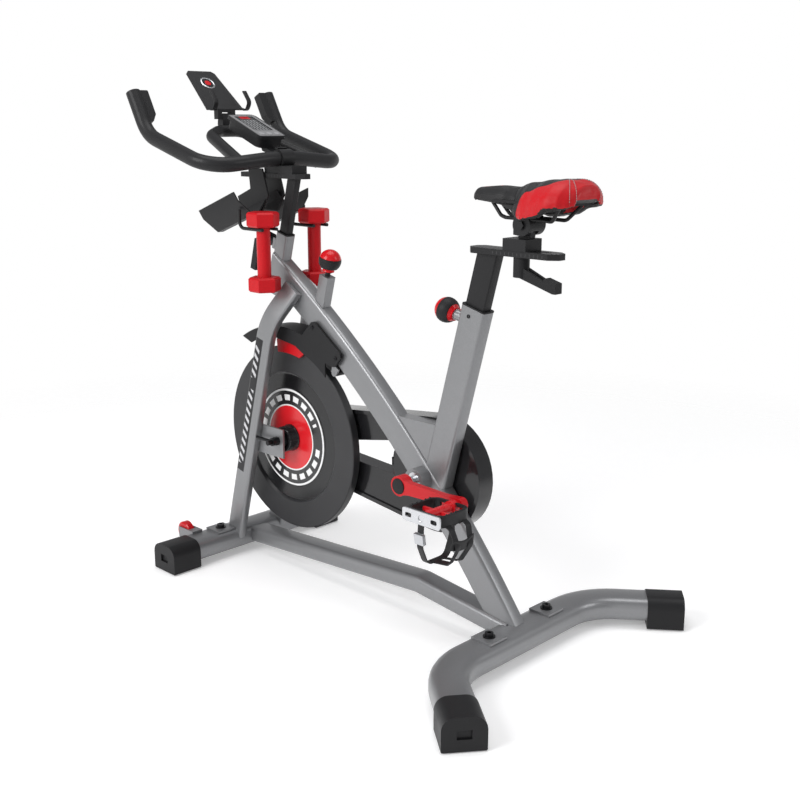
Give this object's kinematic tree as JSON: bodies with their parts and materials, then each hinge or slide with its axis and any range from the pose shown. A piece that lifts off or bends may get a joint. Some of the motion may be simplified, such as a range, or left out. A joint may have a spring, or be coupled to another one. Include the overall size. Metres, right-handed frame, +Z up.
{
  "type": "indoor spin bike",
  "caption": "Belt-driven indoor cycling bike: bowed steel frame, open flywheel with magnetic brake, sliding saddle and drop-horn handlebar, console, device rest and small dumbbells.",
  "frame": {"origin": "middle of the bounding box at floor level", "axes": "-X towards the handlebar (front), +X towards the saddle (rear), +Y towards the belt side, +Z up"},
  "size_m": [1.2381, 0.7962, 1.201],
  "materials": {
    "frame_paint": "satin metallic graphite powder coat",
    "black_paint": "satin black powder coat",
    "red_paint": "gloss red enamel",
    "bright_steel": "machined and zinc plated",
    "dark_steel": "blackened fasteners and spindles",
    "iron": "semi-gloss black coated cast iron",
    "black_plastic": "fine-grained moulded black",
    "red_plastic": "smooth red moulding",
    "black_rubber": "matt black rubber",
    "foam_grip": "dipped black grip coat over steel tube",
    "cushion": "black and red synthetic leather over foam",
    "weight_coat": "red vinyl dip over iron"
  },
  "bodies": {
    "frame": {"main_beam": "frame_paint", "head_tube": "frame_paint", "seat_tube": "frame_paint", "bb_shell": "frame_paint", "frame_lugs": "frame_paint", "fork_left": "frame_paint", "fork_right": "frame_paint", "lower_beam": "frame_paint", "front_stabiliser": "frame_paint", "rear_stabiliser": "frame_paint", "bolts": "dark_steel", "end_caps": "black_plastic", "post_sleeves": "black_plastic", "axle_plates": "frame_paint", "flywheel_axle": "dark_steel", "fender": "black_plastic", "guard_inner": "black_plastic", "guard_outer": "black_plastic", "bb_bearings": "bright_steel", "drive_belt": "black_rubber"},
    "wheel": {"flywheel": "iron", "flywheel_disc": "red_plastic", "flywheel_hub": "iron", "flywheel_pulley": "bright_steel"},
    "crankset": {"crank_spindle": "bright_steel", "crank_left": "red_paint", "crank_right": "red_paint", "crank_pulley": "black_plastic"},
    "left_pedal": {"pedal_left": "black_plastic", "pedal_left_core": "bright_steel"},
    "right_pedal": {"pedal_right": "black_plastic", "pedal_right_core": "bright_steel"},
    "magnets": {"magnet_carrier": "red_plastic"},
    "rod": {"brake_rod": "black_paint"},
    "knob": {"resistance_knob": "black_plastic"},
    "seat_mast": {"seat_post": "black_paint"},
    "carriage": {"seat_carriage": "black_paint"},
    "saddle": {"saddle_clamp": "black_paint", "saddle_base": "black_plastic", "saddle_pad": "cushion"},
    "saddle_lever": {"seat_lever": "black_plastic"},
    "pop_pin": {"seat_pin": "black_plastic"},
    "bar_mast": {"bar_post": "black_paint", "accessory_rack": "black_paint"},
    "bars": {"bar_carriage": "black_paint", "handlebar": "foam_grip", "console": "black_plastic"},
    "tablet": {"tablet_holder": "black_paint"},
    "mast_lever": {"head_lever": "black_plastic"},
    "foot_fl": {"leveller_fl": "black_rubber"},
    "foot_fr": {"leveller_fr": "black_rubber"},
    "foot_rl": {"leveller_rl": "black_rubber"},
    "foot_rr": {"leveller_rr": "black_rubber"},
    "roller_l": {"transport_wheel_l": "red_plastic"},
    "roller_r": {"transport_wheel_r": "red_plastic"},
    "weight_l": {"dumbbell_l": "weight_coat"},
    "weight_r": {"dumbbell_r": "weight_coat"},
    "key_up": {"button_up": "black_rubber"},
    "key_down": {"button_down": "black_rubber"},
    "key_start": {"button_start": "black_rubber"}
  },
  "joints": [
    {"name": "flywheel_spin", "type": "hinge", "parent": "frame", "child": "wheel", "pos_m": [-0.2903, 0, 0.329], "axis": [0, 1, 0], "continuous": true},
    {"name": "crank_spin", "type": "hinge", "parent": "frame", "child": "crankset", "pos_m": [0.1647, 0, 0.33], "axis": [0, 1, 0], "continuous": true},
    {"name": "left_pedal_spin", "type": "hinge", "parent": "crankset", "child": "left_pedal", "pos_m": [0.3347, -0.156, 0.33], "axis": [0, 1, 0], "continuous": true},
    {"name": "right_pedal_spin", "type": "hinge", "parent": "crankset", "child": "right_pedal", "pos_m": [-0.0053, 0.156, 0.33], "axis": [0, 1, 0], "continuous": true},
    {"name": "brake_push", "type": "slide", "parent": "frame", "child": "rod", "axis": [0.2588, 0, 0.9659], "range_m": [-0.008, 0], "stiffness_N_per_m": 2500},
    {"name": "knob_turn", "type": "hinge", "parent": "rod", "child": "knob", "pos_m": [-0.1683, 0, 0.69], "axis": [0.2588, 0, 0.9659], "range_deg": [-540, 540]},
    {"name": "magnet_swing", "type": "hinge", "parent": "frame", "child": "magnets", "pos_m": [-0.11162, 0, 0.52061], "axis": [0, 1, 0], "range_deg": [-2.5, 2.5]},
    {"name": "seat_height", "type": "slide", "parent": "frame", "child": "seat_mast", "axis": [0.2588, 0, 0.9659], "range_m": [-0.075, 0.125]},
    {"name": "seat_fore_aft", "type": "slide", "parent": "seat_mast", "child": "carriage", "axis": [1, 0, 0], "range_m": [-0.03, 0.06]},
    {"name": "seat_lever_turn", "type": "hinge", "parent": "carriage", "child": "saddle_lever", "pos_m": [0.4047, 0, 0.8], "axis": [0, 0, 1], "range_deg": [-80, 80]},
    {"name": "saddle_tilt", "type": "hinge", "parent": "carriage", "child": "saddle", "pos_m": [0.4207, 0, 0.891], "axis": [0, 1, 0], "range_deg": [-8, 8]},
    {"name": "seat_pin_pull", "type": "slide", "parent": "frame", "child": "pop_pin", "axis": [-0.9659, 0, 0.2588], "range_m": [0, 0.012], "stiffness_N_per_m": 1500},
    {"name": "bar_height", "type": "slide", "parent": "frame", "child": "bar_mast", "axis": [0.2588, 0, 0.9659], "range_m": [0, 0.1]},
    {"name": "bar_fore_aft", "type": "slide", "parent": "bar_mast", "child": "bars", "axis": [1, 0, 0], "range_m": [-0.05, 0.04]},
    {"name": "mast_lever_turn", "type": "hinge", "parent": "frame", "child": "mast_lever", "pos_m": [-0.33659, 0, 0.8019], "axis": [-0.9659, 0, 0.2588], "range_deg": [-75, 75]},
    {"name": "tablet_tilt", "type": "hinge", "parent": "bars", "child": "tablet", "pos_m": [-0.5203, 0, 1.092], "axis": [0, 1, 0], "range_deg": [-10, 13]},
    {"name": "key_up_press", "type": "slide", "parent": "bars", "child": "key_up", "axis": [0.3714, 0, 0.9285], "range_m": [-0.0012, 0], "stiffness_N_per_m": 600},
    {"name": "key_down_press", "type": "slide", "parent": "bars", "child": "key_down", "axis": [0.3714, 0, 0.9285], "range_m": [-0.0012, 0], "stiffness_N_per_m": 600},
    {"name": "key_start_press", "type": "slide", "parent": "bars", "child": "key_start", "axis": [0.3714, 0, 0.9285], "range_m": [-0.0012, 0], "stiffness_N_per_m": 600},
    {"name": "leveller_fl_turn", "type": "hinge", "parent": "frame", "child": "foot_fl", "pos_m": [-0.4723, -0.233, 0], "axis": [0, 0, 1], "range_deg": [-360, 360]},
    {"name": "leveller_fr_turn", "type": "hinge", "parent": "frame", "child": "foot_fr", "pos_m": [-0.4723, 0.233, 0], "axis": [0, 0, 1], "range_deg": [-360, 360]},
    {"name": "leveller_rl_turn", "type": "hinge", "parent": "frame", "child": "foot_rl", "pos_m": [0.56354, -0.34182, 0], "axis": [0, 0, 1], "range_deg": [-360, 360]},
    {"name": "leveller_rr_turn", "type": "hinge", "parent": "frame", "child": "foot_rr", "pos_m": [0.56354, 0.34182, 0], "axis": [0, 0, 1], "range_deg": [-360, 360]},
    {"name": "left_roller_spin", "type": "hinge", "parent": "frame", "child": "roller_l", "pos_m": [-0.5373, -0.157, 0.06], "axis": [0, 1, 0], "continuous": true},
    {"name": "right_roller_spin", "type": "hinge", "parent": "frame", "child": "roller_r", "pos_m": [-0.5373, 0.157, 0.06], "axis": [0, 1, 0], "continuous": true},
    {"name": "left_weight_lift", "type": "slide", "parent": "bar_mast", "child": "weight_l", "axis": [0.7071, 0, 0.7071], "range_m": [0, 0.09]},
    {"name": "right_weight_lift", "type": "slide", "parent": "bar_mast", "child": "weight_r", "axis": [0.7071, 0, 0.7071], "range_m": [0, 0.09]}
  ],
  "couplings": [
    {"joint": "crank_spin", "follows": "flywheel_spin", "ratio": 0.25455},
    {"joint": "magnet_swing", "follows": "knob_turn", "ratio": 0.00463}
  ]
}
